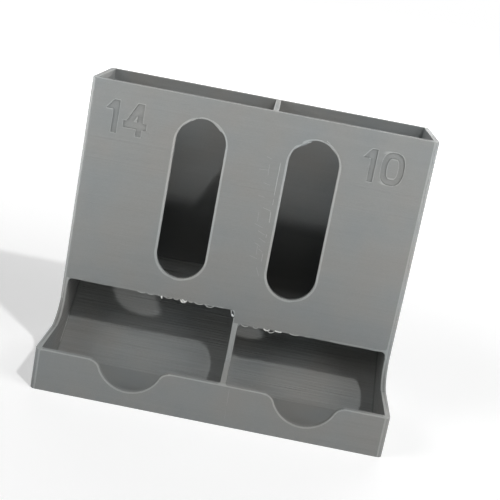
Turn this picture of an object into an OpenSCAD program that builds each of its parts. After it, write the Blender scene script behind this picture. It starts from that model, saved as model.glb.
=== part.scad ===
// Two-column battery dispenser: cells are stacked in a tall open case, roll down
// a curved ramp under the front panel and stop in a tray with a finger scoop.
// X runs along the front, Y from the tray to the back, Z up from the table.
// The origin is the middle of the underside.

/* [Cells] */
// Length of the larger cell
aa_cell_l = 50.5; // [46:0.5:56]
// Diameter of the larger cell
aa_cell_d = 14.5; // [12:0.5:17]
// Length of the smaller cell
aaa_cell_l = 44.5; // [40:0.5:50]
// Diameter of the smaller cell
aaa_cell_d = 10.5; // [9:0.5:13]
// Spare width in a column beside the length of its cell
cell_end_gap = 1.5; // [0.5:0.1:4]

/* [Case] */
// Thickness of every upright wall
wall = 1.6; // [1.2:0.1:2.4]
// Thickness of the floor under the tray and the ramps
base_t = 1.6; // [1:0.2:3]
// Height of the case from the table to the rim
case_h = 88.6; // [70:0.2:140]
// Clear depth of a column, from the front panel to the back wall
column_depth = 24.8; // [20:0.2:34]
// Radius of the upright outer corners, as a share of the wall's thickness
corner_share = 0.9; // [0.3:0.05:0.95]

/* [Windows] */
// Width of the level window in each front panel
window_w = 15; // [8:0.5:20]
// Distance between the middles of the two windows
window_pitch = 33.8; // [30:0.2:40]
// Height of the lower end of the windows above the table
window_sill = 32.8; // [31:0.2:50]
// Distance from the upper end of the windows to the rim
window_drop = 6.2; // [3:0.2:20]

/* [Tray] */
// Reach of the tray in front of the case
tray_reach = 23.6; // [18:0.2:34]
// Height of the tray's lip and side walls above the table
lip_h = 12.4; // [10.6:0.2:14]
// Radius of the sweep from a side wall down to the tray's rim
sweep_r = 7; // [2:0.5:8]
// Free height between a cell lying on the floor and the front panel's edge
outlet_spare = 10.4; // [8:0.1:14]
// Radius of the upper corners of the two outlets
outlet_r = 2; // [0.6:0.2:4]

/* [Finger scoops] */
// Radius of the round part of a scoop
scoop_r = 9.5; // [6:0.5:11]
// Height of the scoop's centre above the rim of the lip
scoop_rise = 1.7; // [0.5:0.1:4]
// Radius of the shoulders that blend a scoop into the rim
shoulder_r = 3.5; // [1:0.5:5]

/* [Ramps] */
// Reach of the ramps in front of the case's front face
ramp_reach = 1.9; // [0:0.1:4]
// Rise of the larger cells' ramp above the floor at the back wall
aa_ramp_rise = 28.6; // [18:0.2:30]
// Rise of the smaller cells' ramp above the floor at the back wall
aaa_ramp_rise = 22; // [16:0.2:30]
// Depth of the hollow in the larger cells' ramp below a straight slope
aa_ramp_dip = 2.2; // [0.4:0.1:3]
// Depth of the hollow in the smaller cells' ramp below a straight slope
aaa_ramp_dip = 0.9; // [0.2:0.1:2]

/* [Hidden] */
$fn = 96;

// Grey of the printed plastic
shell_grey = [0.52, 0.52, 0.51];
// Overrun of every cut past the face it opens
cut = 1;
// Overlap that gives two touching arcs one clean edge between them
arc_overlap = 0.004;

// Clear widths of the columns and the outer sizes that follow from them
aa_clear_w = aa_cell_l + cell_end_gap;
aaa_clear_w = aaa_cell_l + cell_end_gap;
case_w = aa_clear_w + aaa_clear_w + 3 * wall;
case_d = column_depth + 2 * wall;
part_d = case_d + tray_reach;
edge_r = wall * corner_share;

// Places of the walls along X
x_left = -case_w / 2;
x_right = case_w / 2;
x_aa = x_left + wall;
x_divider = x_aa + aa_clear_w;
x_aaa = x_divider + wall;
x_aaa_end = x_right - wall;

// Places of the walls along Y
y_lip = -part_d / 2;
y_tray = y_lip + wall;
y_face = y_lip + tray_reach;
y_column = y_face + wall;
y_back_in = part_d / 2 - wall;
y_back = part_d / 2;

// Heights of the outlets' upper edges, of the divider's bare front edge and of the sweep
aa_outlet_z = base_t + aa_cell_d + outlet_spare;
aaa_outlet_z = base_t + aaa_cell_d + outlet_spare;
divider_edge_z = aaa_outlet_z - outlet_r;
sweep_z = lip_h + sweep_r;

// Height of the centres of the windows' round ends
window_z = [window_sill + window_w / 2, case_h - window_drop - window_w / 2];

// Extrudes an outline drawn in Y and Z from x0 to x1
module along_x(x0, x1) {
    translate([x0, 0, 0])
        rotate([90, 0, 90])
            linear_extrude(x1 - x0)
                children();
}

// Extrudes an outline drawn in X and Z from y0 to y1
module along_y(y0, y1) {
    translate([0, y1, 0])
        rotate([90, 0, 0])
            linear_extrude(y1 - y0)
                children();
}

// Rectangle from one corner to the opposite one
module span(x0, y0, x1, y1) {
    translate([x0, y0])
        square([x1 - x0, y1 - y0]);
}

// Rectangle whose corners at the low X side are rounded
module left_rounded(x0, y0, x1, y1, r) {
    intersection() {
        span(x0, y0, x1, y1);
        union() {
            span(x0 + r, y0, x1, y1);
            span(x0, y0 + r, x1, y1 - r);
            for (y = [y0 + r, y1 - r])
                translate([x0 + r, y])
                    circle(r);
        }
    }
}

// Plan of the floor: a rectangle with all four corners rounded
module floor_plan() {
    left_rounded(x_left, y_lip, 0, y_back, edge_r);
    mirror([1, 0])
        left_rounded(x_left, y_lip, 0, y_back, edge_r);
}

// Side view of an upright wall beside the tray, swept down to the tray's rim
module tray_profile(y_start) {
    span(y_start, base_t, y_face, lip_h);
    difference() {
        span(y_face - sweep_r, lip_h, y_face, sweep_z);
        translate([y_face - sweep_r, sweep_z])
            circle(sweep_r);
    }
}

// Outer wall on the left, rounded at its upright outer corners
module side_wall() {
    intersection() {
        along_x(x_left, x_aa) {
            tray_profile(y_lip);
            span(y_face, base_t, y_back, sweep_z);
        }
        linear_extrude(sweep_z + cut)
            left_rounded(x_left, y_lip, x_aa, y_back, edge_r);
    }
    translate([0, 0, sweep_z])
        linear_extrude(case_h - sweep_z)
            left_rounded(x_left, y_face, x_aa, y_back, edge_r);
}

// Upright slot with round ends
module window(x) {
    for (z = window_z)
        translate([x, z])
            circle(d = window_w);
    span(x - window_w / 2, window_z[0], x + window_w / 2, window_z[1]);
}

// Outlet under a front panel, with rounded upper corners
module outlet(x0, x1, top) {
    span(x0 + outlet_r, top - outlet_r, x1 - outlet_r, top);
    for (x = [x0 + outlet_r, x1 - outlet_r])
        translate([x, top - outlet_r])
            circle(outlet_r);
}

// Front panel from x0 to x1 over an outlet that starts at x_open
module front_panel(x0, x1, x_open, top, x_window) {
    along_y(y_face, y_column)
        difference() {
            span(x0, top - outlet_r, x1, case_h);
            outlet(x_open, x1, top);
            window(x_window);
        }
}

// Finger scoop: an arc blended into the rim by two round shoulders
module scoop(x) {
    between_centres = scoop_r + shoulder_r - arc_overlap;
    shoulder_x = sqrt(pow(between_centres, 2) - pow(scoop_rise + shoulder_r, 2));
    shoulder_z = lip_h - shoulder_r;
    scoop_z = lip_h + scoop_rise;
    translate([x, scoop_z])
        circle(scoop_r);
    difference() {
        polygon([
            [x - shoulder_x, lip_h + cut], [x - shoulder_x, shoulder_z], [x, scoop_z],
            [x + shoulder_x, shoulder_z], [x + shoulder_x, lip_h + cut]
        ]);
        for (side = [-1, 1])
            translate([x + side * shoulder_x, shoulder_z])
                circle(shoulder_r);
    }
}

// Lip of the tray from x0 to x1, with a scoop at x_scoop
module tray_lip(x0, x1, x_scoop) {
    along_y(y_lip, y_tray)
        difference() {
            span(x0, base_t, x1, lip_h);
            scoop(x_scoop);
        }
}

// Ramp from the floor up to the back wall, its face hollowed to a wide arc
module ramp(x0, x1, rise, dip) {
    y_foot = y_face - ramp_reach;
    run = y_back_in - y_foot;
    chord = norm([run, rise]);
    arc_r = (pow(chord / 2, 2) + pow(dip, 2)) / (2 * dip);
    to_centre = arc_r - dip;
    centre_y = y_foot + run / 2 - to_centre * rise / chord;
    centre_z = base_t + rise / 2 + to_centre * run / chord;
    along_x(x0, x1)
        difference() {
            span(y_foot - cut, base_t, y_back_in, base_t + rise + cut);
            translate([centre_y, centre_z])
                circle(arc_r, $fn = 720);
        }
}

module base_plate() {
    color(shell_grey)
        linear_extrude(base_t)
            floor_plan();
}

module back_wall() {
    color(shell_grey)
        along_y(y_back_in, y_back)
            span(x_aa, base_t, x_aaa_end, case_h);
}

module left_side_wall() {
    color(shell_grey)
        side_wall();
}

module right_side_wall() {
    color(shell_grey)
        mirror([1, 0, 0])
            side_wall();
}

// The divider runs from the lip to the back wall and stands behind the front panels
module column_divider() {
    color(shell_grey)
        along_x(x_divider, x_aaa) {
            tray_profile(y_tray);
            span(y_face, base_t, y_back_in, divider_edge_z);
            span(y_column, divider_edge_z, y_back_in, case_h);
        }
}

module aa_front_panel() {
    color(shell_grey)
        front_panel(x_aa, x_divider, x_aa, aa_outlet_z, -window_pitch / 2);
}

// The smaller cells' panel also covers the front edge of the divider
module aaa_front_panel() {
    color(shell_grey)
        front_panel(x_divider, x_aaa_end, x_aaa, aaa_outlet_z, window_pitch / 2);
}

module aa_tray_lip() {
    color(shell_grey)
        tray_lip(x_aa, x_divider, (x_aa + x_divider) / 2);
}

// The smaller cells' lip also closes the front end of the divider
module aaa_tray_lip() {
    color(shell_grey)
        tray_lip(x_divider, x_aaa_end, (x_aaa + x_aaa_end) / 2);
}

module aa_ramp() {
    color(shell_grey)
        ramp(x_aa, x_divider, aa_ramp_rise, aa_ramp_dip);
}

module aaa_ramp() {
    color(shell_grey)
        ramp(x_aaa, x_aaa_end, aaa_ramp_rise, aaa_ramp_dip);
}

base_plate();
back_wall();
left_side_wall();
right_side_wall();
column_divider();
aa_front_panel();
aaa_front_panel();
aa_tray_lip();
aaa_tray_lip();
aa_ramp();
aaa_ramp();
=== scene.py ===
"""Battery dispenser with two columns, printed in grey plastic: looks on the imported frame."""

import bpy
import numpy as np
from mathutils import Matrix, Vector


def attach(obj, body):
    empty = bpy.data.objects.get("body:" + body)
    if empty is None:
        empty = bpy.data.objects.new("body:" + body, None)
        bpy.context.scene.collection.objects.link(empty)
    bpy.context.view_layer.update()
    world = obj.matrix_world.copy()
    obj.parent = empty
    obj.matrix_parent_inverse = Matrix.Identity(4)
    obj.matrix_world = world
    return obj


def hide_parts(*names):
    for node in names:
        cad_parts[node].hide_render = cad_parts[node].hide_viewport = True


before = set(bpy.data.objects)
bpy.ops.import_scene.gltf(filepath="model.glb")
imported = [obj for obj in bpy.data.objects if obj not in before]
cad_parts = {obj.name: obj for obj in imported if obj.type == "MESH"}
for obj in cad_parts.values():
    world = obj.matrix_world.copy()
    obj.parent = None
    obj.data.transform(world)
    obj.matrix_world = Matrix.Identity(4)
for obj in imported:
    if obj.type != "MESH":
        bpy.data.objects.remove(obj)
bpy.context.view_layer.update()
scene = bpy.context.scene

MM = 0.001

# Shader nodes


def math_node(tree, operation, first, second):
    """Result of an operation on two values of a node tree."""
    node = tree.nodes.new("ShaderNodeMath")
    node.operation = operation
    tree.links.new(first, node.inputs[0])
    tree.links.new(second, node.inputs[1])
    return node.outputs[0]


def map_range(tree, value, near, far, low, high, curve="LINEAR"):
    """Value mapped from the range near to far on to the range low to high, and held at its ends."""
    node = tree.nodes.new("ShaderNodeMapRange")
    node.interpolation_type = curve
    for name, limit in (("From Min", near), ("From Max", far), ("To Min", low), ("To Max", high)):
        node.inputs[name].default_value = limit
    tree.links.new(value, node.inputs["Value"])
    return node.outputs["Result"]


# Camera

CAMERA_PLACE = (6.14, -275.33, 127.63)
CAMERA_ROWS = (
    (0.981451, 0.064407, 0.180568),
    (0.190169, -0.207883, -0.95949),
    (-0.024261, 0.976031, -0.216275),
)
FOCAL_PIXELS = 948.9
FRAME_PIXELS = 500.0
MIDDLE_ROW = 180.0
SENSOR_WIDTH = 36.0


def make_camera():
    """Camera with its right, down and forward directions as fitted to the photograph."""
    data = bpy.data.cameras.new("camera")
    data.sensor_width = SENSOR_WIDTH
    data.lens = FOCAL_PIXELS / FRAME_PIXELS * SENSOR_WIDTH
    data.shift_y = (MIDDLE_ROW - FRAME_PIXELS / 2) / FRAME_PIXELS
    data.clip_start = 0.01
    data.clip_end = 50.0
    camera = bpy.data.objects.new("camera", data)
    right, down, forward = (np.array(row) for row in CAMERA_ROWS)
    turn = Matrix(np.column_stack([right, -down, -forward]).tolist()).to_4x4()
    camera.matrix_world = Matrix.Translation(Vector(CAMERA_PLACE) * MM) @ turn
    scene.collection.objects.link(camera)
    scene.camera = camera


make_camera()

# Lights, in metres and watts

KEY_PLACE = (0.64, -0.8, 1.33)
KEY_WATTS = 39.5
KEY_RADIUS = 0.045
MIDDLE = (0.0, 0.0, 0.05)
# Place, aim, width, height and watts
SOFTBOXES = {
    "left_fill": ((-0.9, -0.5, 0.5), MIDDLE, 0.6, 0.6, 4.2),
    "right_fill": ((0.9, -0.5, 0.5), MIDDLE, 0.6, 0.6, 4.3),
    "high_left": ((-0.7, -0.15, 0.7), MIDDLE, 0.4, 0.4, 0.4),
    "high_right": ((0.7, -0.15, 0.7), MIDDLE, 0.4, 0.4, 0.4),
    "far_right": ((1.0, -0.2, 0.12), MIDDLE, 0.3, 0.3, 1.0),
    "card_left": ((-0.35, -0.15, 0.001), (-0.35, -0.15, 1.0), 0.3, 0.4, 4.0),
    "card_right": ((0.35, -0.15, 0.001), (0.35, -0.15, 1.0), 0.3, 0.4, 3.0),
    "back_top": ((0.0, 0.9, 0.7), (0.0, 0.0, 0.08), 1.0, 0.4, 2.4),
    "back_fill": ((0.4, 1.0, 0.22), MIDDLE, 0.6, 0.4, 3.2),
}


def add_lamp(data, place, travel):
    """Lamp at a place, shining along a direction and not seen by the camera."""
    lamp = bpy.data.objects.new(data.name, data)
    lamp.location = place
    lamp.rotation_mode = "QUATERNION"
    lamp.rotation_quaternion = Vector(travel).to_track_quat("-Z", "Y")
    lamp.visible_camera = False
    scene.collection.objects.link(lamp)


def make_lamps():
    """One small key lamp, and rectangular softboxes and cards round the object."""
    key = bpy.data.lights.new("key", "POINT")
    key.energy = KEY_WATTS
    key.shadow_soft_size = KEY_RADIUS
    add_lamp(key, KEY_PLACE, -Vector(KEY_PLACE))
    for name, (place, aim, width, height, watts) in SOFTBOXES.items():
        data = bpy.data.lights.new(name, "AREA")
        data.shape = "RECTANGLE"
        data.size = width
        data.size_y = height
        data.energy = watts
        add_lamp(data, place, Vector(aim) - Vector(place))


make_lamps()


def seen_directly(tree):
    """One for rays from the camera and for gloss and clear materials, nought for the light on the object."""
    path = tree.nodes.new("ShaderNodeLightPath")
    camera_or_gloss = math_node(tree, "MAXIMUM", path.outputs["Is Camera Ray"], path.outputs["Is Glossy Ray"])
    return math_node(tree, "MAXIMUM", camera_or_gloss, path.outputs["Is Transmission Ray"])


def make_world():
    """White surroundings that put no light on the object."""
    world = bpy.data.worlds.new("studio")
    scene.world = world
    world.use_nodes = True
    tree = world.node_tree
    white = tree.nodes["Background"]
    white.inputs["Color"].default_value = (1.0, 1.0, 1.0, 1.0)
    tree.links.new(seen_directly(tree), white.inputs["Strength"])


make_world()

# Floor

FLOOR_HALF = 6.0
PAPER = (0.85, 0.85, 0.85, 1.0)
# Distances from the object in metres where the glow starts to grow and is full, and its two strengths
GLOW_FROM, GLOW_FULL = 0.12, 0.9
NEAR_GLOW, FAR_GLOW = 0.36, 1.0


def make_floor():
    """Wide pale table top. Its glow grows with the distance from the object, and its far edge is lost in white."""
    mesh = bpy.data.meshes.new("table_top")
    corners = [(x * FLOOR_HALF, y * FLOOR_HALF, 0) for x, y in ((-1, -1), (1, -1), (1, 1), (-1, 1))]
    mesh.from_pydata(corners, [], [(0, 1, 2, 3)])
    floor = bpy.data.objects.new("table_top", mesh)
    scene.collection.objects.link(floor)
    material = bpy.data.materials.new("pale_table")
    material.use_nodes = True
    tree = material.node_tree
    tree.nodes.clear()
    link = tree.links.new
    paper = tree.nodes.new("ShaderNodeBsdfDiffuse")
    paper.inputs["Color"].default_value = PAPER
    place = tree.nodes.new("ShaderNodeTexCoord")
    distance = tree.nodes.new("ShaderNodeVectorMath")
    distance.operation = "LENGTH"
    link(place.outputs["Object"], distance.inputs[0])
    level = map_range(tree, distance.outputs["Value"], GLOW_FROM, GLOW_FULL, NEAR_GLOW, FAR_GLOW)
    glow = tree.nodes.new("ShaderNodeEmission")
    link(math_node(tree, "MULTIPLY", level, seen_directly(tree)), glow.inputs["Strength"])
    both = tree.nodes.new("ShaderNodeAddShader")
    out = tree.nodes.new("ShaderNodeOutputMaterial")
    link(paper.outputs[0], both.inputs[0])
    link(glow.outputs[0], both.inputs[1])
    link(both.outputs[0], out.inputs["Surface"])
    mesh.materials.append(material)


make_floor()

# Grey printed plastic

# Places on the colour ramp and their cool, middle and warm greys
TINTS = (
    (0.32, (0.222, 0.235, 0.236, 1.0)),
    (0.5, (0.234, 0.241, 0.236, 1.0)),
    (0.68, (0.240, 0.239, 0.229, 1.0)),
)
# How much lighter the painted highlights make edges and threads, and how much darker the painted shade makes the
# walls deep inside
EDGE_HIGHLIGHT = 0.5
THREAD_HIGHLIGHT = 0.9
DEEP_SHADE = 0.55
# Border distances that threads carry as from_edge, for their painted highlight: lighter than an edge, as light as
# one, and barely lighter
BRIGHT = -2.0
LIGHT = 0.0
FAINT = 1.0


def grey_print(name, slope_share):
    """Matte grey plastic laid in layers.

    Colour: soft cool and warm patches, streaks that run along the layers, and a fine grain, all on Object
    coordinates. On slopes the streaks are stronger. Edges and threads carry a painted highlight and the walls
    deep inside the columns a painted shade, by the skin's own attributes from_edge and inside."""
    material = bpy.data.materials.new(name)
    material.use_nodes = True
    tree = material.node_tree
    link = tree.links.new
    shader = tree.nodes["Principled BSDF"]
    shader.inputs["IOR"].default_value = 1.46
    shader.inputs["Specular IOR Level"].default_value = 0.35
    place = tree.nodes.new("ShaderNodeTexCoord")

    def noise(stretch, scale, detail):
        """Noise over Object coordinates in metres, stretched along the axes."""
        mapping = tree.nodes.new("ShaderNodeMapping")
        mapping.inputs["Scale"].default_value = stretch
        link(place.outputs["Object"], mapping.inputs["Vector"])
        node = tree.nodes.new("ShaderNodeTexNoise")
        node.inputs["Scale"].default_value = scale
        node.inputs["Detail"].default_value = detail
        link(mapping.outputs["Vector"], node.inputs["Vector"])
        return node.outputs["Fac"]

    def scaled(value, low, high):
        """Noise from 0.25 to 0.75 mapped to the range low to high."""
        return map_range(tree, value, 0.25, 0.75, low, high)

    def share_from(attribute, near, far, low, high):
        """Skin attribute turned into a factor: low where it is near or less, high where it is far or more."""
        stored = tree.nodes.new("ShaderNodeAttribute")
        stored.attribute_name = attribute
        return map_range(tree, stored.outputs["Fac"], near, far, low, high, "SMOOTHSTEP")

    patches = noise((1.0, 1.0, 1.0), 55.0, 2.0)
    streaks = noise((0.012, 0.012, 1.0), 4200.0, 1.0)
    long_streaks = noise((0.02, 0.02, 1.0), 900.0, 2.0)
    grain = noise((1.0, 1.0, 1.0), 3000.0, 2.0)
    tint = tree.nodes.new("ShaderNodeValToRGB")
    stops = tint.color_ramp.elements
    stops[0].position, stops[1].position = TINTS[0][0], TINTS[2][0]
    stops.new(TINTS[1][0])
    for stop, (_, colour) in zip(stops, TINTS):
        stop.color = colour
    link(patches, tint.inputs["Fac"])
    swing = 0.02 + 0.05 * slope_share
    light = scaled(streaks, 1.0 - swing, 1.0 + swing)
    # The last three factors are painted light: highlights on edges and threads from from_edge, and shade deep in the
    # columns from inside
    for factor in (
        scaled(grain, 0.97, 1.03),
        scaled(long_streaks, 1.0 - 0.6 * swing, 1.0 + 0.6 * swing),
        share_from("from_edge", 0.85, 1.15, 1.0 + EDGE_HIGHLIGHT, 1.0),
        share_from("from_edge", BRIGHT, BRIGHT + 1.0, 1.0 + THREAD_HIGHLIGHT, 1.0),
        share_from("inside", 0.0, 1.0, 1.0, 1.0 - DEEP_SHADE),
    ):
        light = math_node(tree, "MULTIPLY", light, factor)
    shade = tree.nodes.new("ShaderNodeVectorMath")
    shade.operation = "SCALE"
    link(tint.outputs["Color"], shade.inputs[0])
    link(light, shade.inputs["Scale"])
    link(shade.outputs["Vector"], shader.inputs["Base Color"])
    link(scaled(streaks, 0.42, 0.56), shader.inputs["Roughness"])
    bump = tree.nodes.new("ShaderNodeBump")
    bump.inputs["Strength"].default_value = 0.25
    bump.inputs["Distance"].default_value = 0.00004
    link(grain, bump.inputs["Height"])
    link(bump.outputs["Normal"], shader.inputs["Normal"])
    return material


# Sizes of the printed part in mm, as in the part's source

WALL = 1.6
CASE_X = 51.4
COLUMN_X = 49.8
DIVIDER_X = (2.2, 3.8)
LIP_Y = -25.8
TRAY_Y = -24.2
FACE_Y = -2.2
COLUMN_Y = -0.6
BACK_IN_Y = 24.2
BACK_Y = 25.8
CORNER_R = 1.44
SWEEP_R = 7.0
WINDOW_R = 7.5
WINDOW_X = {"aa": -16.9, "aaa": 16.9}
WINDOW_MIDDLES = (40.3, 74.9)
OUTLET_TOP = {"aa": 26.5, "aaa": 22.5}
OUTLET_R = 2.0
SCOOP_X = {"aa": -23.8, "aaa": 26.8}
SCOOP_R = 9.5
SCOOP_RISE = 1.7
SHOULDER_R = 3.5
RAMP_FOOT_Y = -4.1
# Rise of each ramp above the floor and depth of its hollow
RAMPS = {"aa": (28.6, 2.2), "aaa": (22.0, 0.9)}

# Printed layers: their height, and the counts up to the floor, the tray's rim, the sweeps' upper ends, the top of
# the divider's foremost part and the case's rim

LAYER = 0.2
FLOOR_TOP = 8
LIP_TOP = 62
SWEEP_TOP = 97
DIVIDER_FRONT_TOP = 102
RIM_TOP = 443
# Width of a line of plastic, and heights in a layer of its groove and its two shoulders
BEAD = 0.4
ROW_STEPS = (0.0, 0.055, 0.145)

# Depth of the groove under each layer, and how far each layer lies back
chance = np.random.default_rng(11)
GROOVE = np.clip(0.032 + 0.006 * chance.normal(size=RIM_TOP + 1), 0.014, 0.05)
SHIFT = np.abs(0.0045 * chance.normal(size=RIM_TOP + 1))


def layer_rows(first, last):
    """Rows of the layers first to last - 1: a groove at every joint, and two shoulders inside each layer.

    Height is layer x LAYER + step. Returns columns of the heights, the groove's shares and the layers."""
    count = last - first
    layer = np.repeat(np.arange(first, last), len(ROW_STEPS))
    height = layer * LAYER + np.tile(ROW_STEPS, count)
    share = np.tile([1.0, 0.0, 0.0], count)
    rows = np.append(height, last * LAYER), np.append(share, 1.0), np.append(layer, last - 1)
    return [values[:, None] for values in rows]


def middle(layer):
    """Height of the middle of a layer."""
    return (layer + 0.5) * LAYER


def relief(along, height, share, layer):
    """Depth of the skin below the true face: a groove at each joint, a small shift of each layer and a slow swell.

    The swell is a sum of three long waves over the place along the wall and the height."""
    swell = 0.006 * np.sin(0.31 * along + 0.17 * height + 1.0) + 0.005 * np.sin(0.11 * along - 0.43 * height)
    swell = swell + 0.004 * np.sin(0.83 * height + 0.05 * along)
    return 0.015 + share * GROOVE[layer] + SHIFT[layer] + swell


def bead_depth(across):
    """Depth below the rim at a distance across it: round lines of plastic, one bead wide, side by side."""
    offset = (across % BEAD) / (BEAD / 2) - 1.0
    return 0.07 * (1.0 - np.sqrt(np.clip(1.0 - offset ** 2, 0.0, 1.0)))


def grid(x, y, z):
    """Points from three coordinates, each spread over the shape of the others."""
    return np.stack(np.broadcast_arrays(x, y, z), axis=-1)


def ring_skin(points):
    """Closed skin over stacked rings: each row of points is joined to the next, and both ends are filled."""
    rows, places = points.shape[:2]
    index = np.arange(rows * places).reshape(rows, places)
    ahead = np.roll(index, -1, axis=1)
    quads = np.stack([index[:-1], ahead[:-1], ahead[1:], index[1:]], axis=-1).reshape(-1, 4)
    return points.reshape(-1, 3), quads, [index[0, ::-1], index[-1]]


def thread(path, radius, light):
    """Closed round thread along a path: rings square to the path, drawn in to a blunt end at both ends.

    The radius is one value or one for each place, and light is the border distance that its skin carries, which sets
    its painted highlight."""
    path = np.asarray(path, float)
    ahead = np.gradient(path, axis=0)
    ahead /= np.linalg.norm(ahead, axis=1, keepdims=True)
    first = np.cross(ahead, (0.36, 0.0, 0.933)) if abs(ahead[0, 2]) < 0.7 else np.cross(ahead, (1.0, 0.0, 0.1))
    first /= np.linalg.norm(first, axis=1, keepdims=True)
    second = np.cross(ahead, first)
    run = np.linspace(-1.0, 1.0, len(path))
    size = radius * np.sqrt(np.clip(1.04 - np.abs(run) ** 8, 0.0, 1.0))
    angle = np.linspace(0.0, 2 * np.pi, 6, endpoint=False)
    turn = np.cos(angle)[:, None] * first[:, None] + np.sin(angle)[:, None] * second[:, None]
    points = path[:, None] + size[:, None, None] * turn
    skin = ring_skin(points)
    return skin + (np.full(len(skin[0]), light),)


def hanging(x0, z0, x1, z1, sag, y=-2.12, places=12):
    """Path from one place to another on the front: a straight line lowered by a parabola."""
    t = np.linspace(0.0, 1.0, places)
    x, z = x0 + (x1 - x0) * t, z0 + (z1 - z0) * t - sag * 4 * t * (1 - t)
    return grid(x, y, z)


def joined(skins):
    """Several closed skins as one."""
    points, quads, caps, shares, start = [], [], [], [], 0
    for skin in skins:
        points.append(skin[0])
        quads.append(skin[1] + start)
        caps.extend(np.asarray(cap) + start for cap in skin[2])
        shares.append(skin[3] if len(skin) > 3 else edge_distance(skin[0]))
        start += len(skin[0])
    return np.concatenate(points), np.concatenate(quads), caps, np.concatenate(shares)


# Light borders: painted highlights along edges and threads

FAR = 9.0
# Widths in mm of each light border: across the outline or the sides, and along the depth or the height
BORDERS = {
    "window": (0.65, 0.7), "scoop": (0.4, 0.4), "number": (0.32, 0.2), "outlet_corner": (0.5, 0.5),
    "outlet": (0.35, 0.4), "rim": (0.45, 0.15), "lip": (0.35, 0.3), "sweep": (0.5, 0.3),
    "tread": (0.5, 0.15), "panel_side": (0.5, 0.4), "corner": (0.35, 0.6),
}
# Share of its width that a window's border keeps from 4 mm above the arch's centre
ARCH_BORDER = 0.4 / 0.65
# Heights where the painted shade starts, is full, and fades out below, and its share beside the tray
SHADE_FROM, SHADE_FULL = 62.0, 44.0
FADE_FROM, FADE_END = 28.0, 24.0
TRAY_SHADE = 0.6


def scoop_distance(off, height):
    """Distance in the lip's plane from a finger scoop's outline, off to one side of its middle."""
    rim, shoulder_x, meet_z = scoop_meeting()
    meet_x = shoulder_x * SCOOP_R / (SCOOP_R + SHOULDER_R)
    bowl = np.abs(np.hypot(off, height - rim - SCOOP_RISE) - SCOOP_R)
    shoulder = np.abs(np.hypot(off - shoulder_x, height - rim + SHOULDER_R) - SHOULDER_R)
    on_bowl = (off < meet_x + 0.3) & (height < meet_z + 0.1)
    on_shoulder = (off < shoulder_x + 0.1) & (height > meet_z - 0.1)
    return np.minimum(np.where(on_bowl, bowl, FAR), np.where(on_shoulder, shoulder, FAR))


def sweep_distance(y, height):
    """Distance in a side wall's plane from the quarter circle of its sweep."""
    return np.abs(np.hypot(y - FACE_Y + SWEEP_R, height - SWEEP_TOP * LAYER) - SWEEP_R)


def number_distance(x, z):
    """Distance in the front's plane from the outlines of the sunk numbers.

    The strokes are drawn on a grid of 0.1 mm, and the distance is to the nearest grid place on a stroke's border."""
    found = np.full(len(x), FAR)
    across, up = np.meshgrid(np.arange(-0.5, 14.0, 0.1), np.arange(-0.5, NUMBER_Z[1] - NUMBER_Z[0] + 0.5, 0.1))
    for start, second_digit in NUMBERS.values():
        drawn = np.zeros(up.shape, bool)
        for left, right, there in number_strokes(up + NUMBER_Z[0], second_digit):
            drawn |= there & (across >= left) & (across <= right)
        core = drawn[1:-1, 1:-1] & drawn[:-2, 1:-1] & drawn[2:, 1:-1] & drawn[1:-1, :-2] & drawn[1:-1, 2:]
        drawn[1:-1, 1:-1] &= ~core
        outline = np.stack([across[drawn] + start, up[drawn] + NUMBER_Z[0]], axis=-1)
        near = (x > start - 1.0) & (x < start + 14.5) & (np.abs(z - np.mean(NUMBER_Z)) < 6.2)
        gaps = np.hypot(x[near, None] - outline[:, 0], z[near, None] - outline[:, 1]).min(axis=1, initial=FAR)
        found[near] = np.minimum(found[near], gaps)
    return found


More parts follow.
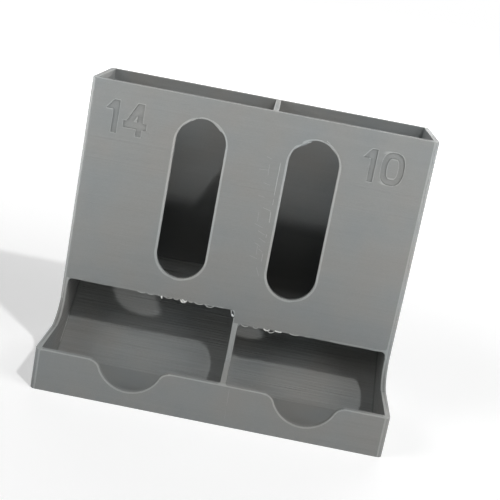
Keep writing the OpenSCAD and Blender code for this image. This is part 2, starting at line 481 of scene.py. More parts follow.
def edge_distance(points):
    """Distance from the nearest edge that carries a painted highlight, in widths of that edge's light border.

    Round windows, scoops, outlet corners and numbers it joins the distance from the outline in the wall's plane
    and the distance from the wall's face. Along rims, sweeps and corners it joins the distance from the wall's
    sides and from the rim's own surface. A least value keeps the fainter borders faint."""
    x, y, z = points.T
    side = np.abs(x)
    rim, lip, sweep = RIM_TOP * LAYER, LIP_TOP * LAYER, SWEEP_TOP * LAYER
    from_face = y - FACE_Y
    found = [np.full(len(x), FAR)]

    def border(name, there, across, along, least=0.0):
        """One more border where there is one, with its two distances in mm."""
        width, depth = BORDERS[name]
        found.append(np.where(there, np.maximum(np.hypot(across / width, along / depth), least), FAR))

    arch = WINDOW_MIDDLES[1]
    for centre in WINDOW_X.values():
        off = np.hypot(x - centre, z - np.clip(z, *WINDOW_MIDDLES)) - WINDOW_R
        border("window", True, off / np.interp(z, (arch, arch + 4.0), (1.0, ARCH_BORDER)), from_face)
    for centre in SCOOP_X.values():
        border("scoop", z < lip + 0.1, scoop_distance(np.abs(x - centre), z), y - LIP_Y)
    border("number", z > 70.0, number_distance(x, z), from_face, 0.86)
    for corner_x, top in ((DIVIDER_X[0], OUTLET_TOP["aa"]), (COLUMN_X, OUTLET_TOP["aaa"])):
        centre_x, centre_z = corner_x - OUTLET_R, top - OUTLET_R
        off = np.hypot(x - centre_x, z - centre_z) - OUTLET_R
        border("outlet_corner", (x > centre_x) & (z > centre_z) & (x < centre_x + 3.5), off, from_face)
    border("outlet", (x > 30.0) & (x < COLUMN_X - OUTLET_R), z - OUTLET_TOP["aaa"], from_face, 1.0)
    sides = np.minimum(np.abs(side - COLUMN_X), np.abs(side - CASE_X))
    across_walls = [np.abs(y - wall_y) for wall_y in (FACE_Y, COLUMN_Y, BACK_IN_Y, BACK_Y)]
    across_divider = [np.abs(x - wall_x) for wall_x in DIVIDER_X]
    border("rim", z > rim - 1.0, np.minimum.reduce([sides] + across_walls + across_divider), rim - z)
    at_lip = np.abs(z - lip) < 1.0
    swept = (z > lip - 0.1) & (z < sweep + 0.2)
    tread = at_lip & (y < FACE_Y - SWEEP_R + 0.3)
    border("lip", at_lip, y - LIP_Y, z - lip)
    border("sweep", swept, sides, sweep_distance(y, z))
    border("tread", tread, sides, z - lip)
    border("panel_side", (z > sweep) & (z < OUTLET_TOP["aa"]), side - COLUMN_X, from_face, 0.9)
    front = np.where(z > sweep, from_face, np.where(z < lip, y - LIP_Y, FAR))
    from_side = np.where((x < 0) & (z > sweep), 0.5, CORNER_R)
    border("corner", side > COLUMN_X - 1.0, side - CASE_X + from_side, front, 0.93)
    between = (x > DIVIDER_X[0] - 0.1) & (x < DIVIDER_X[1] + 0.1)
    border("sweep", between & swept, 0.0, sweep_distance(y, z))
    border("tread", between & tread, 0.0, z - lip)
    border("panel_side", between & (z > sweep) & (z < 24.0), 0.0, from_face)
    return np.minimum(np.minimum.reduce(found), FAR)


def painted_shade_share(points):
    """Share of painted shade on the walls' inner sides: nought near the rim, growing to one deep in the columns.

    The side walls keep a part of it below the outlets and beside the tray."""
    x, y, z = points.T
    side = np.abs(x)
    indoors = (side < COLUMN_X + 0.12) & (y > COLUMN_Y - 0.15) & (y < BACK_IN_Y + 0.15)
    on_wall = (y > BACK_IN_Y - 0.1) | (y < COLUMN_Y + 0.1) | (side > COLUMN_X - 0.1)
    on_wall |= (x > DIVIDER_X[0] - 0.1) & (x < DIVIDER_X[1] + 0.1)
    grown = np.interp(z, (SHADE_FULL, SHADE_FROM), (1.0, 0.0))
    kept = np.interp(z, (FADE_END, FADE_FROM), (0.0, 1.0))
    beside_tray = (np.abs(side - COLUMN_X) < 0.12) & (z < FADE_FROM)
    beside_tray &= (y > swept_front(z / LAYER, LIP_Y) + 1.0) & (y < BACK_IN_Y + 0.1)
    return np.maximum(indoors * on_wall * grown * kept, TRAY_SHADE * beside_tray)


def make_piece(name, skin, material, *nodes):
    """Mesh from a skin in mm, riding on the body and standing for its CAD nodes."""
    points, quads, caps, shares = skin if len(skin) > 3 else joined([skin])
    corners = np.concatenate([quads.ravel()] + [np.asarray(cap) for cap in caps])
    used, corners = np.unique(corners, return_inverse=True)
    points, shares = points[used], shares[used]
    sizes = np.concatenate([np.full(len(quads), 4), [len(cap) for cap in caps]]).astype(np.int32)
    starts = np.concatenate([[0], np.cumsum(sizes)[:-1]]).astype(np.int32)
    mesh = bpy.data.meshes.new(name)
    mesh.vertices.add(len(points))
    mesh.vertices.foreach_set("co", (points * MM).astype(np.float32).ravel())
    mesh.loops.add(len(corners))
    mesh.loops.foreach_set("vertex_index", corners.astype(np.int32).ravel())
    mesh.polygons.add(len(sizes))
    mesh.polygons.foreach_set("loop_start", starts)
    mesh.update(calc_edges=True)
    mesh.validate()
    mesh.shade_flat()
    # from_edge carries the painted highlights on edges and threads, inside the painted shade deep in the columns
    for attribute, values in (("from_edge", shares), ("inside", painted_shade_share(points))):
        layer = mesh.attributes.new(attribute, "FLOAT", "POINT")
        layer.data.foreach_set("value", values.astype(np.float32))
    mesh.materials.append(material)
    piece = bpy.data.objects.new(name, mesh)
    scene.collection.objects.link(piece)
    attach(piece, "root")
    if nodes:
        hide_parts(*nodes)


# Upright walls


def swept_front(layer, low_y):
    """Front end of a wall at each layer: the tray's end up to the lip, the sweep's quarter circle, then the face."""
    drop = SWEEP_TOP * LAYER - middle(layer)
    curve = FACE_Y - SWEEP_R + np.sqrt(np.clip(SWEEP_R ** 2 - drop ** 2, 0.0, None))
    return np.where(layer < LIP_TOP, low_y, np.where(layer < SWEEP_TOP, curve, FACE_Y))


# Places across a wall's front end, and the counts of places along its other parts
FRONT_STEPS = np.concatenate([[0.0, 0.02, 0.06, 0.12], np.arange(2, 17) / 10])
INNER_PLACES = 13
CORNER_PLACES = 8
OUTER_PLACES = 12
FRONT_START = INNER_PLACES + 1 + CORNER_PLACES + OUTER_PLACES
# Gap between the ramps or walls and the back wall's inner face
SEAM_GAP = 0.02


def wall_rings(front_y, front_r, corner_r, back_y, rows, outer_x, inner_x):
    """Rings of a wall that runs from front to back, with its outer side on the left.

    Inner side, round back corner, outer side, round front corner and front end, each a line or an arc whose ends
    depend on the row. The relief is taken off towards the inside of the wall."""
    inner_y = front_y + (BACK_IN_Y - SEAM_GAP - front_y) * np.linspace(0.0, 1.0, INNER_PLACES)
    inner = np.stack([np.full_like(inner_y, inner_x), inner_y], axis=-1)
    angle = np.radians(np.linspace(90.0, 180.0, CORNER_PLACES))
    round_corner = np.stack([np.cos(angle), np.sin(angle)], axis=-1)
    arc = np.array([outer_x + corner_r, back_y - corner_r]) + corner_r * round_corner
    back_end = np.concatenate([[[inner_x, back_y]], arc])
    back_end = np.broadcast_to(back_end, (len(front_y),) + back_end.shape)
    outer_t = np.linspace(0.0, 1.0, OUTER_PLACES + 2)[1:-1]
    outer_y = back_y - corner_r + (front_y + front_r - back_y + corner_r) * outer_t
    outer = np.stack([np.full_like(outer_y, outer_x), outer_y], axis=-1)
    reach = np.clip(front_r - FRONT_STEPS, 0.0, None)
    front_line = front_y + front_r - np.sqrt(np.clip(front_r ** 2 - reach ** 2, 0.0, None))
    front_end = grid(outer_x + FRONT_STEPS, front_line, 0.0)[:, :-1, :2]
    plan = np.concatenate([inner, back_end, outer, front_end], axis=1)
    inward = np.concatenate([
        [[0.0, 1.0]], np.tile([[-1.0, 0.0]], (INNER_PLACES - 1, 1)), [[0.0, -1.0]], -round_corner,
        np.tile([[1.0, 0.0]], (OUTER_PLACES + 1, 1)), np.tile([[0.4, 0.9]], (4, 1)), np.tile([[0.0, 1.0]], (13, 1))])
    along = np.where(np.abs(inward[:, 0]) > 0.7, plan[..., 1], plan[..., 0])
    plan = plan + relief(along, *rows)[..., None] * inward
    return grid(plan[..., 0], plan[..., 1], rows[0])


# Depth of a rim's edges below its top, and the rings across a rim as shares of half the wall's thickness
RIM_EDGE = 0.055
RIM_SHARES = np.array([0.875, 0.75, 0.625, 0.56, 0.5, 0.44, 0.375, 0.25, 0.125, 0.06, 0.01])


def with_rim(rings, across_axis, centre, half):
    """Rings with rows that close a wall's top: the last ring drawn in to the wall's middle, at the beads' depth."""
    rows = np.repeat(rings[-1:], len(RIM_SHARES), axis=0)
    rows[..., across_axis] = centre + (rows[..., across_axis] - centre) * RIM_SHARES[:, None]
    across = (1.0 - RIM_SHARES) * half
    rows[..., 2] = RIM_TOP * LAYER - bead_depth(across)[:, None]
    rings[-1, :, 2] = RIM_TOP * LAYER - RIM_EDGE
    return np.concatenate([rings, rows])


def upright_wall(outer_x, inner_x, low_y, top_y, top_from, corner_r, back_y):
    """A wall from front to back over its whole height, with the tray's flat rim as a tread with beads.

    Its front end is at low_y up to the tray's rim, then on the sweep, and at top_y from the layer top_from."""
    parts = []
    for first, last in ((FLOOR_TOP, LIP_TOP), (LIP_TOP, top_from), (top_from, RIM_TOP)):
        rows = layer_rows(first, last)
        layer = rows[2]
        front_y = np.where(layer < top_from, swept_front(layer, low_y), top_y)
        sweep_share = np.clip((middle(layer) - LIP_TOP * LAYER) / SWEEP_R, 0.15, 1.0)
        front_r = corner_r * np.where(layer < LIP_TOP, 1.0, sweep_share)
        rings = wall_rings(front_y, front_r, corner_r, back_y, rows, outer_x, inner_x)
        if LIP_TOP in (first, last):
            tread = rings[-1 if last == LIP_TOP else 0]
            tread[FRONT_START:, 2] -= bead_depth(tread[FRONT_START:, 0] - outer_x)
            tread[0, 2] -= bead_depth(WALL)
        parts.append(rings)
    return with_rim(np.concatenate(parts), 0, (outer_x + inner_x) / 2, (inner_x - outer_x) / 2)


def mirrored(rings):
    """Rings with left and right changed over, and their order turned round so that they still face outwards."""
    turned = rings[:, ::-1].copy()
    turned[..., 0] *= -1.0
    return turned


def back_wall_rings():
    """Plain wall across the back: two long sides with relief off both."""
    rows = layer_rows(FLOOR_TOP, RIM_TOP)
    line = np.linspace(-COLUMN_X, COLUMN_X, 26)
    along = np.concatenate([line, line[::-1]])
    depth = relief(along, *rows)
    y = np.where(np.arange(len(along)) < len(line), BACK_IN_Y + depth, BACK_Y - depth)
    return with_rim(grid(along, y, rows[0]), 1, (BACK_IN_Y + BACK_Y) / 2, WALL / 2)


def base_rings():
    """Floor: a rectangle with four round corners over its layers, each corner an arc between two short lines."""
    rows = layer_rows(0, FLOOR_TOP)
    corners, outward = [], []
    for cx, cy, turn in ((1, 1, 0), (-1, 1, 90), (-1, -1, 180), (1, -1, 270)):
        angle = np.radians(np.linspace(turn, turn + 90, CORNER_PLACES))
        arc = np.stack([cx * (CASE_X - CORNER_R) + CORNER_R * np.cos(angle),
                        cy * (BACK_Y - CORNER_R) + CORNER_R * np.sin(angle)], axis=-1)
        ahead = np.stack([-np.sin(angle), np.cos(angle)], axis=-1)
        corners += [arc[:1] - 0.8 * ahead[:1], arc, arc[-1:] + 0.8 * ahead[-1:]]
        outward += [(cx, cy)] * (CORNER_PLACES + 2)
    plan = np.concatenate(corners)
    plan = plan - relief(plan.sum(axis=1), *rows)[..., None] * np.array(outward, float)
    return grid(plan[..., 0], plan[..., 1], rows[0])


# Ramps

RAMP_PLACES = 72
# Share of each step's face that leans with the ramp, and the depth of its groove beside a wall's
STEP_LEAN = 0.6
STEP_GROOVE = 1.4


def ramp_front(height, rise, dip):
    """Place of a ramp's face at a height: a circle through foot and top, hollowed by the dip from its chord."""
    run = BACK_IN_Y - RAMP_FOOT_Y
    chord = np.hypot(run, rise)
    radius = ((chord / 2) ** 2 + dip ** 2) / (2 * dip)
    centre_y = RAMP_FOOT_Y + run / 2 - (radius - dip) * rise / chord
    centre_z = FLOOR_TOP * LAYER + rise / 2 + (radius - dip) * run / chord
    return centre_y + np.sqrt(radius ** 2 - (height - centre_z) ** 2)


def smooth_waves(rows, places, reach, seed):
    """Random waves along each row, smoothed with a round window of the given reach, about one unit high."""
    values = np.random.default_rng(seed).normal(size=(rows, places + 6 * reach))
    window = np.exp(-0.5 * (np.arange(-3 * reach, 3 * reach + 1) / reach) ** 2)
    window /= np.sqrt((window ** 2).sum())
    spectrum = np.fft.rfft(values, axis=1) * np.fft.rfft(window, values.shape[1])
    return np.fft.irfft(spectrum, values.shape[1], axis=1)[:, 6 * reach:]


def ramp_rings(x0, x1, rise, dip, seed):
    """Solid wedge in leaning steps of one layer, each step's edge waving a little along it, more so at its foot.

    The waves are smoothed noise along each step, a slow drift from step to step that dies out 3 mm above the
    floor, and a banding of about five steps that is the same along the whole ramp."""
    last = int(round((FLOOR_TOP * LAYER + rise) / LAYER))
    height, share, layer = layer_rows(FLOOR_TOP, last)
    line = np.linspace(x0, x1, RAMP_PLACES)
    front = (1 - STEP_LEAN) * ramp_front(middle(layer), rise, dip) + STEP_LEAN * ramp_front(height, rise, dip)
    steps = np.arange(last)
    waves = smooth_waves(last, RAMP_PLACES, 6, seed)
    drift = np.cumsum(smooth_waves(last, RAMP_PLACES, 14, seed + 1), axis=0)
    drift -= np.linspace(0, 1, last)[:, None] * drift[-1]
    above = middle(steps) - FLOOR_TOP * LAYER
    wander = 0.06 * waves + 0.05 * drift * np.exp(-above / 3.0)[:, None]
    banding = 0.035 * np.sin(steps * 2 * np.pi / 4.7) * (1 + 0.5 * np.sin(steps * 0.7))
    shape = (wander + banding[:, None])[layer[:, 0]]
    fade = np.clip((line - x0) / 1.5, 0, 1) * np.clip((x1 - line) / 1.5, 0, 1)
    y = np.minimum(front + shape * fade + STEP_GROOVE * share * GROOVE[layer], BACK_IN_Y - SEAM_GAP)
    return np.concatenate([grid(line, y, height), grid(np.array([x1, x0]), BACK_IN_Y, height)], axis=1)


# Front panels and tray lips

# How far each window's upper arch sags in on its left and right, and the sag of the outlets' lowest lines
ARCH_SAG = {"aa": (0.4, 0.9), "aaa": (1.5, 0.35)}
OUTLET_SAG = 0.22
# Plastic kept on both sides of an outlet's columns
OUTLET_MARGIN = 0.15
PANEL_COLUMNS = 8
LIP_COLUMNS = 18


def window_half(height):
    """Half width of the level window at a height: a straight slot with a half circle at each end, or none."""
    low, high = WINDOW_MIDDLES
    off = np.where(height < low, low - height, np.where(height > high, height - high, 0.0))
    return np.sqrt(np.clip(WINDOW_R ** 2 - off ** 2, 0.0, None))


def arch_sag(height, amount):
    """Amount by which a side of a window's upper arch hangs inside its circle, most at 5.8 mm above its centre."""
    up = height - WINDOW_MIDDLES[1]
    return np.minimum(amount * np.exp(-((up - 5.8) / 1.2) ** 2), 0.7 * window_half(height))


def scoop_meeting():
    """Height of a scoop's rim, how far off its middle the shoulders' centres lie, and where shoulder meets bowl."""
    rim = LIP_TOP * LAYER
    between, drop = SCOOP_R + SHOULDER_R, SCOOP_RISE + SHOULDER_R
    return rim, np.sqrt(between ** 2 - drop ** 2), rim - SHOULDER_R + drop * SHOULDER_R / between


def scoop_half(height):
    """Half width of a finger scoop at a height: the scoop's circle, then the shoulder's circle up to the rim."""
    rim, shoulder_x, meet_z = scoop_meeting()
    inner = np.sqrt(np.clip(SCOOP_R ** 2 - (rim + SCOOP_RISE - height) ** 2, 0.0, None))
    outer = shoulder_x - np.sqrt(np.clip(SHOULDER_R ** 2 - (height - rim + SHOULDER_R) ** 2, 0.0, None))
    return np.where(height < meet_z, inner, outer)


def spread(start, end, count):
    """Evenly spaced places from start to end, row by row."""
    return start + (end - start) * np.linspace(0.0, 1.0, count)


# Sunk numbers: heights of foot and top, depth, width of a stroke, place of the second digit, reach of the columns
# beside a stroke, and width of its steep side
NUMBER_Z = (73.4, 83.2)
NUMBER_DEPTH = 0.32
STROKE = 1.7
SECOND_DIGIT = 5.6
BESIDE_STROKE = 0.4
STEEP_SIDE = 0.03
# Flag of the one, bar and crossbar of the four, half width and roundness of the nought
FLAG_HEIGHT, FLAG_REACH = 2.8, 2.2
BAR_X, CROSS_Z, CROSS_END = 4.0, 2.4, 7.0
ZERO_HALF, ZERO_POWER = 3.4, 2.6


def one_edges(up, height):
    """Left and right edge of the digit one: a bar with a flag that slopes down from its top."""
    flag = np.where((up > height - FLAG_HEIGHT) & (up < height), (height - up) / FLAG_HEIGHT * FLAG_REACH, 0.0)
    return FLAG_REACH - flag, np.full_like(up, FLAG_REACH + STROKE)


def four_edges(up, height):
    """Edges of the two strokes of the digit four: a slope that joins the bar, a crossbar and the upright bar."""
    slope = np.clip((up - CROSS_Z) / (height - CROSS_Z), 0.0, 1.0) * BAR_X * 0.9
    in_cross = (up > CROSS_Z - STROKE * 0.1) & (up < CROSS_Z + STROKE)
    above = up >= CROSS_Z + STROKE
    left = np.where(in_cross, 0.0, slope)
    right = np.where(in_cross, BAR_X, np.minimum(slope + STROKE * 1.25, BAR_X))
    end = np.where(in_cross, CROSS_END, BAR_X + STROKE)
    return left, right, np.full_like(up, BAR_X), end, in_cross | above


def zero_edges(up, height):
    """Edges of the two strokes of the digit nought: a ring between two stretched circles, blunt at both ends."""
    off = np.abs(up - height / 2)

    def half_width(tall, wide, least):
        """Half width of a stretched circle of half height tall."""
        return np.maximum(wide * np.clip(1 - (off / tall) ** ZERO_POWER, 0.0, 1.0) ** (1 / ZERO_POWER), least)

    outer = half_width(height / 2, ZERO_HALF, 0.7)
    inner = half_width(height / 2 - STROKE, ZERO_HALF - STROKE, 0.01)
    return ZERO_HALF - outer, ZERO_HALF - inner, ZERO_HALF + inner, ZERO_HALF + outer, np.ones_like(up, bool)


def number_strokes(height, second_digit):
    """Left edge, right edge and presence of the three strokes of a number of two digits at a height."""
    low, high = NUMBER_Z
    tall = high - low
    inside = (height > low) & (height < high)
    up = np.clip(height - low, 0.0, tall)
    left, right = one_edges(up, tall)
    first, first_end, second, second_end, there = second_digit(up, tall)
    return [(left, right, inside),
            (first + SECOND_DIGIT, first_end + SECOND_DIGIT, inside & there),
            (second + SECOND_DIGIT, second_end + SECOND_DIGIT, inside)]


def number_columns(height, x_start, second_digit):
    """Places and depths of the columns that draw a sunk number: two at each side of a stroke and one beyond it.

    Where the second and third stroke touch, the columns between them are sunk too and lie 0.01 mm apart."""
    strokes = number_strokes(height, second_digit)
    touching = np.abs(strokes[1][1] - strokes[2][0]) < 0.05
    edges = []
    for left, right, _ in strokes:
        edges += [left, np.maximum(right, left + 0.1)]
    room = [BESIDE_STROKE]
    for right, left in zip(edges[1::2], edges[2::2]):
        room.append(np.minimum(BESIDE_STROKE, BESIDE_STROKE * np.clip(left - right, 0.0, None)))
    room.append(BESIDE_STROKE)
    places, depths = [], []
    for stroke, (_, _, there) in enumerate(strokes):
        left, right = edges[2 * stroke:2 * stroke + 2]
        sunk = np.where(there, NUMBER_DEPTH, 0.0)
        joins_before, joins_after = touching & (stroke == 2), touching & (stroke == 1)
        start, end = np.where(joins_before, sunk, 0.0), np.where(joins_after, sunk, 0.0)
        places += [left - room[stroke], left + 0.01 * joins_before, left + STEEP_SIDE, right - STEEP_SIDE,
                   right - 0.02 * joins_after, np.where(joins_after, right - 0.01, right + room[stroke + 1])]
        depths += [start, start, sunk, sunk, end, end]
    return x_start + np.hstack(places), np.hstack(depths)


# Left end of each number and its second digit
NUMBERS = {"aa": (-46.0, four_edges), "aaa": (30.6, zero_edges)}
BEFORE_NUMBER = 3
AFTER_NUMBER = 4

# Distances of the columns beside a hole from its edge, and the depths of those columns and of the edge
HOLE_STEPS = np.array([0.95, 0.8, 0.45, 0.3])
HOLE_DEPTHS = np.array([0.0, 0.03, 0.0, 0.10])
# Clear width below which the columns beside a hole move closer together
HOLE_ROOM = 3.2


def side_columns(start, end, layer, columns, number):
    """Places and depths of the columns from start to end, evenly spaced, with a number's among them if it has one.

    Rows that are too narrow for the number have evenly spaced columns alone."""
    if number is None:
        places = spread(start, end, columns)
        return places, np.zeros_like(places)
    drawn, sunk = number_columns(middle(layer), *number)
    places = np.hstack([spread(start, drawn[:, :1], BEFORE_NUMBER + 1)[:, :-1], drawn,
                        spread(drawn[:, -1:], end, AFTER_NUMBER + 1)[:, 1:]])
    depths = np.pad(sunk, ((0, 0), (BEFORE_NUMBER, AFTER_NUMBER)))
    narrow = (end < drawn[:, -1:] + 0.5) | (start > drawn[:, :1] - 0.5)
    return np.where(narrow, spread(start, end, places.shape[1]), places), np.where(narrow, 0.0, depths)


def sagged(x, height, is_open, sag):
    """Heights of a wall's grid, its lowest closed lines hanging down in waves that fade out a little higher up."""
    droop = 0.5 + 0.5 * np.sin(0.9 * x + 1.3) * np.sin(0.37 * x + 0.4)
    edge_z = height[np.argmax(~is_open)]
    inside = np.clip((x - x[:, :1]) / 3.0, 0, 1) * np.clip((x[:, -1:] - x) / 3.0, 0, 1)
    return height - np.where(is_open, 0.0, sag * droop * inside * np.exp(-(height - edge_z) / 0.35))


def pierced_skin(front, back, top, joint, is_open):
    """Closed skin over the grids of a wall's front, back and top, the hole's edges joined from front to back.

    The columns before the joint lie left of the hole. In rows without a hole the two columns at the joint are one."""
    rows, cols = front.shape[:2]
    f = np.arange(rows * cols).reshape(rows, cols)
    b = f + rows * cols
    t = np.arange(len(top) * cols).reshape(-1, cols) + 2 * rows * cols
    for grid in (f, b):
        grid[~is_open, joint] = grid[~is_open, joint - 1]
    if not is_open[-1]:
        t[:, joint] = t[:, joint - 1]
    t = np.concatenate([f[-1:], t, b[-1:]])

    def patch(a):
        """Quads over a grid of indices, rows up and columns along."""
        return np.stack([a[:-1, :-1], a[:-1, 1:], a[1:, 1:], a[1:, :-1]], axis=-1).reshape(-1, 4)

    quads = []
    for part in (slice(0, joint), slice(joint, cols)):
        quads += [patch(f[:, part]), patch(b[:, part])[:, ::-1], patch(t[:, part]),
                  patch(np.stack([b[0, part], f[0, part]]))]
    quads += [patch(np.stack([b[:, 0], f[:, 0]], axis=1)), patch(np.stack([f[:, -1], b[:, -1]], axis=1))]
    gap = is_open[:-1] | is_open[1:]
    for sides in ((f[:, joint - 1], b[:, joint - 1]), (b[:, joint], f[:, joint])):
        quads.append(patch(np.stack(sides, axis=1))[gap])
    caps = [t[:, 0], t[::-1, -1]]
    if is_open[-1]:
        caps += [t[::-1, joint - 1], t[:, joint]]
    points = np.concatenate([front.reshape(-1, 3), back.reshape(-1, 3), top.reshape(-1, 3)])
    return points, np.concatenate(quads), caps


def pierced_wall(first, last, x0, x1, hole_left, hole_right, split_x, y_front, y_back, columns,
                 numbers=(None, None), sag=0.0):
    """Wall across the front with one hole in each layer, as two blocks of columns that meet where there is none.

    hole_left and hole_right give the hole's edges for every layer, with NaN where the layer has none. Front and
    back skins are grids of rows and columns with the relief taken off."""
    rows = layer_rows(first, last)
    height, _, layer = rows
    is_open = ~np.isnan(hole_left[layer - first])
    left = np.where(is_open, hole_left[layer - first], split_x)
    right = np.where(is_open, hole_right[layer - first], split_x)
    start, end = np.full_like(left, x0), np.full_like(left, x1)
    rim = is_open * HOLE_DEPTHS
    beside_left = HOLE_STEPS * np.minimum(1.0, (left - start) / HOLE_ROOM)
    beside_right = HOLE_STEPS * np.minimum(1.0, (end - right) / HOLE_ROOM)
    left_places, left_low = side_columns(start, left - beside_left[:, :1], layer, columns, numbers[0])
    right_places, right_low = side_columns(right + beside_right[:, :1], end, layer, columns, numbers[1])
    x = np.hstack([left_places, left - beside_left[:, 1:], left,
                   right, right + beside_right[:, :0:-1], right_places])
    low = np.hstack([left_low, rim, rim[:, ::-1], right_low])
    z = sagged(x, height, is_open, sag)
    front = grid(x, y_front + relief(x, *rows) + low, z)
    back = grid(x, y_back - relief(x * 0.9 + 5.0, *rows) - np.where(low == NUMBER_DEPTH, 0.0, low), z)
    front[-1, :, 2] -= RIM_EDGE
    back[-1, :, 2] -= RIM_EDGE
    across = np.arange(0.1, WALL - 0.05, 0.1)
    top = np.repeat(front[-1:], len(across), axis=0)
    top[..., 1] = y_front + across[:, None] * (y_back - y_front) / WALL
    top[..., 2] = last * LAYER - bead_depth(across)[:, None]
    return pierced_skin(front, back, top, left_places.shape[1] + len(HOLE_STEPS), is_open[:, 0])


def outlet_edges(height, x_open, x1, top):
    """Edges of an outlet at a height below its top, inside the round corners."""
    off = np.clip(height - (top - OUTLET_R), 0.0, OUTLET_R)
    corner = OUTLET_R - np.sqrt(OUTLET_R ** 2 - off ** 2)
    return x_open + corner, x1 - corner


def front_panel(size, x0, x1, x_open, numbers):
    """Front panel of one column, from the outlet's corners up to the rim, with its number beside its window."""
    top = OUTLET_TOP[size]
    first = int((top - OUTLET_R) / LAYER)
    height = middle(np.arange(first, RIM_TOP))
    half = window_half(height)
    sag_left, sag_right = ARCH_SAG[size]
    hole_left = np.where(half > 0, WINDOW_X[size] - half + arch_sag(height, sag_left), np.nan)
    hole_right = np.where(half > 0, WINDOW_X[size] + half - arch_sag(height, sag_right), np.nan)
    out_left, out_right = outlet_edges(height, x_open, x1, top)
    below = height < top - 0.01
    hole_left = np.where(below, np.maximum(out_left, x0 + OUTLET_MARGIN), hole_left)
    hole_right = np.where(below, np.minimum(out_right, x1 - OUTLET_MARGIN), hole_right)
    return pierced_wall(first, RIM_TOP, x0, x1, hole_left, hole_right, WINDOW_X[size], FACE_Y, COLUMN_Y,
                        PANEL_COLUMNS, numbers, OUTLET_SAG)


def tray_lip(size, x0, x1):
    """Lip of one tray with its finger scoop, open to the rim."""
    half = scoop_half(middle(np.arange(FLOOR_TOP, LIP_TOP)))
    hole_left = np.where(half > 0, SCOOP_X[size] - half, np.nan)
    hole_right = np.where(half > 0, SCOOP_X[size] + half, np.nan)
    return pierced_wall(FLOOR_TOP, LIP_TOP, x0, x1, hole_left, hole_right, SCOOP_X[size], LIP_Y, TRAY_Y,
                        LIP_COLUMNS)


# Loose threads and seams

# Threads under each outlet's edge: x and height above the edge at both ends, sag in the middle, and radius
LAID = {
    "aa": [
        (-28.2, 0.0, -25.6, -0.1, 0.3, 0.15), (-25.1, 0.0, -22.9, 0.0, 0.35, 0.13),
        (-19.9, 0.0, -17.2, -0.1, 0.45, 0.15), (-16.9, 0.0, -15.3, -0.1, 0.4, 0.14),
        (-14.9, 0.0, -12.7, 0.0, 0.9, 0.2), (-12.1, 0.0, -11.0, -0.1, 0.4, 0.16),
        (-14.4, 0.0, -13.0, -0.7, 0.0, 0.22), (-10.5, 0.0, -7.6, -0.1, 0.5, 0.16),
        (-7.4, 0.0, -4.1, 0.0, 0.8, 0.16), (-3.6, 0.0, -1.2, -0.1, 0.15, 0.12),
        (-20.6, -0.1, -20.45, -0.95, 0.0, 0.24), (1.0, -0.3, 1.4, -1.7, 0.0, 0.15),
        (1.35, -1.6, 2.2, -2.15, 0.1, 0.27),
    ],
    "aaa": [
        (4.6, 0.0, 7.1, -0.3, 0.5, 0.16), (8.4, -0.1, 10.2, -0.1, 0.45, 0.16),
        (11.7, -0.1, 13.7, -0.1, 0.5, 0.21), (12.9, -0.5, 15.4, -0.2, 0.7, 0.16),
        (15.2, -0.1, 17.5, -0.2, 0.15, 0.2), (19.6, 0.0, 22.8, -0.1, 0.3, 0.17),
        (24.5, 0.0, 26.3, 0.0, 0.12, 0.12),
    ],
}
# Threads on the front: x and height at both ends, radius, and border distance, which sets the painted highlight
LINES = [
    (7.25, 74.1, 7.24, 63.5, 0.15, 0.6), (7.28, 62.8, 7.3, 60.9, 0.12, 0.95), (7.18, 58.9, 7.3, 55.3, 0.14, 0.8),
    (7.2, 51.8, 7.2, 50.6, 0.12, 0.95), (7.25, 45.8, 7.2, 43.0, 0.12, 0.98), (2.9, 75.0, 4.7, 74.5, 0.11, FAINT),
    (1.2, 70.9, 4.4, 71.1, 0.11, FAINT), (4.5, 59.7, 7.2, 59.0, 0.12, 0.97), (3.4, 67.2, 5.6, 66.6, 0.1, FAINT),
    (2.4, 63.1, 4.6, 62.8, 0.1, FAINT), (3.0, 54.4, 5.8, 53.5, 0.1, FAINT), (4.4, 52.4, 6.9, 51.4, 0.11, FAINT),
    (5.0, 50.3, 7.4, 49.2, 0.11, FAINT), (4.1, 48.6, 6.2, 47.6, 0.11, FAINT), (5.6, 46.9, 7.0, 46.1, 0.1, FAINT),
    (3.3, 44.4, 5.9, 43.7, 0.1, FAINT), (6.0, 41.2, 7.3, 38.4, 0.1, FAINT), (4.2, 73.0, 4.3, 69.4, 0.09, FAINT),
    (3.7, 58.2, 3.8, 55.0, 0.09, FAINT), (5.2, 48.0, 5.3, 44.8, 0.09, FAINT), (19.2, 82.9, 20.6, 82.0, 0.13, 0.9),
    (20.7, 81.9, 21.7, 81.1, 0.13, 0.9), (21.9, 81.0, 23.2, 79.4, 0.12, 0.95),
    (13.9, 81.2, 15.0, 81.75, 0.16, LIGHT), (-20.8, 81.1, -19.5, 81.8, 0.14, LIGHT),
    (-14.6, 82.1, -13.3, 81.4, 0.13, 0.5), (-13.2, 81.2, -11.6, 79.6, 0.12, 0.9),
    (5.1, 12.2, 5.3, 6.0, 0.12, 0.97), (5.3, 5.6, 5.4, 2.0, 0.1, FAINT),
]


def outlet_threads():
    """Threads that hang from the front panels' lower edges, where the first lines were laid across the gap.

    The thick ones carry a bright painted highlight and the thinnest, placed at random along the larger outlet, a
    faint one."""
    laid = [(x0, OUTLET_TOP[size] + z0, x1, OUTLET_TOP[size] + z1, sag, radius)
            for size, threads in LAID.items() for x0, z0, x1, z1, sag, radius in threads]
    loose = np.random.default_rng(7)
    top = OUTLET_TOP["aa"]
    for start in np.sort(loose.uniform(-31.0, -1.0, 12)):
        laid.append((start, top + 0.05, start + loose.uniform(1.2, 3.2), top, loose.uniform(0.05, 0.35), 0.09))
    skins = []
    for x0, z0, x1, z1, sag, radius in laid:
        light = BRIGHT if radius > 0.195 else LIGHT if radius > 0.1 else FAINT
        skins.append(thread(hanging(x0, z0, x1, z1, sag), 1.1 * radius, light))
    return skins


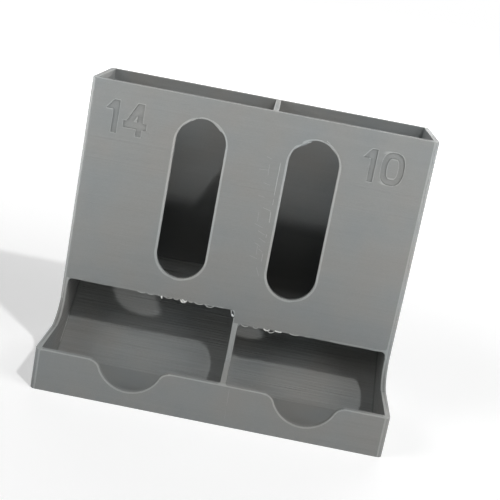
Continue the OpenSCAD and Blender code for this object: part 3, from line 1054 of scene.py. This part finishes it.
def face_threads():
    """Fine raised lines: beside the smaller cells' window, over the divider, at the windows' tops and on the lip."""
    skins = []
    for x0, z0, x1, z1, radius, light in LINES:
        y = FACE_Y + 0.06 if z0 > LIP_TOP * LAYER else LIP_Y + radius
        skins.append(thread(hanging(x0, z0, x1, z1, 0.0, y), radius, light))
    return skins


def seam(low, high, seed, strong):
    """Upright seam on a round outer corner: a thread whose radius swells where each layer starts and ends.

    Between the strong heights the swellings come every 0.9 mm and stand out more."""
    z = np.arange(low, high, 0.15)
    rough = smooth_waves(1, len(z), 2, seed)[0]
    marked = (z > strong[0]) & (z < strong[1])
    radius = 0.07 + 0.035 * np.abs(rough) + 0.09 * marked * np.abs(np.sin(np.pi * z / 0.9)) ** 3
    angle = np.radians(-68.0) + 0.1 * smooth_waves(1, len(z), 9, seed + 1)[0]
    x = CASE_X - CORNER_R + (CORNER_R - 0.05) * np.cos(angle)
    y = FACE_Y + CORNER_R + (CORNER_R - 0.05) * np.sin(angle)
    # The seam's border distance gives it a painted highlight
    return thread(grid(x, y, z), radius, 0.95)


def corner_thread():
    """Thin line of plastic in the corner between the left wall and the larger cells' ramp, down to the tray."""
    z = np.linspace(4.2, 11.4, 20)
    y = ramp_front(z, *RAMPS["aa"]) - 0.05
    # Its border distance gives the thread a painted highlight
    return thread(grid(-COLUMN_X + 0.06, y, z), 0.13, 0.9)


grey = grey_print("grey_print", 0.0)
ramp_grey = grey_print("grey_print_on_slopes", 1.0)

left_rings = upright_wall(-CASE_X, -COLUMN_X, LIP_Y, FACE_Y, SWEEP_TOP, CORNER_R, BACK_Y)
make_piece("left_wall_print", ring_skin(left_rings), grey, "left_side_wall")
right_skins = [ring_skin(mirrored(left_rings)), seam(22.0, 88.0, 21, (22.5, 34.0))]
make_piece("right_wall_print", joined(right_skins), grey, "right_side_wall")
divider_rings = upright_wall(*DIVIDER_X, TRAY_Y, COLUMN_Y, DIVIDER_FRONT_TOP, 0.05, BACK_IN_Y)
make_piece("divider_print", ring_skin(divider_rings), grey, "column_divider")
make_piece("back_wall_print", ring_skin(back_wall_rings()), grey, "back_wall")
make_piece("base_print", ring_skin(base_rings()), grey, "base_plate")
aa_ramp_skins = [ring_skin(ramp_rings(-COLUMN_X, DIVIDER_X[0], *RAMPS["aa"], 3)), corner_thread()]
make_piece("aa_ramp_print", joined(aa_ramp_skins), ramp_grey, "aa_ramp")
aaa_ramp_rings = ramp_rings(DIVIDER_X[1], COLUMN_X, *RAMPS["aaa"], 5)
make_piece("aaa_ramp_print", ring_skin(aaa_ramp_rings), ramp_grey, "aaa_ramp")
aa_panel = front_panel("aa", -COLUMN_X, DIVIDER_X[0], -COLUMN_X, (NUMBERS["aa"], None))
make_piece("aa_panel_print", aa_panel, grey, "aa_front_panel")
aaa_panel = front_panel("aaa", DIVIDER_X[0], COLUMN_X, DIVIDER_X[1], (None, NUMBERS["aaa"]))
make_piece("aaa_panel_print", aaa_panel, grey, "aaa_front_panel")
make_piece("threads_print", joined(outlet_threads() + face_threads()), grey)
make_piece("aa_lip_print", tray_lip("aa", -COLUMN_X, DIVIDER_X[0]), grey, "aa_tray_lip")
make_piece("aaa_lip_print", tray_lip("aaa", DIVIDER_X[0], COLUMN_X), grey, "aaa_tray_lip")

scene.view_settings.view_transform = "Standard"
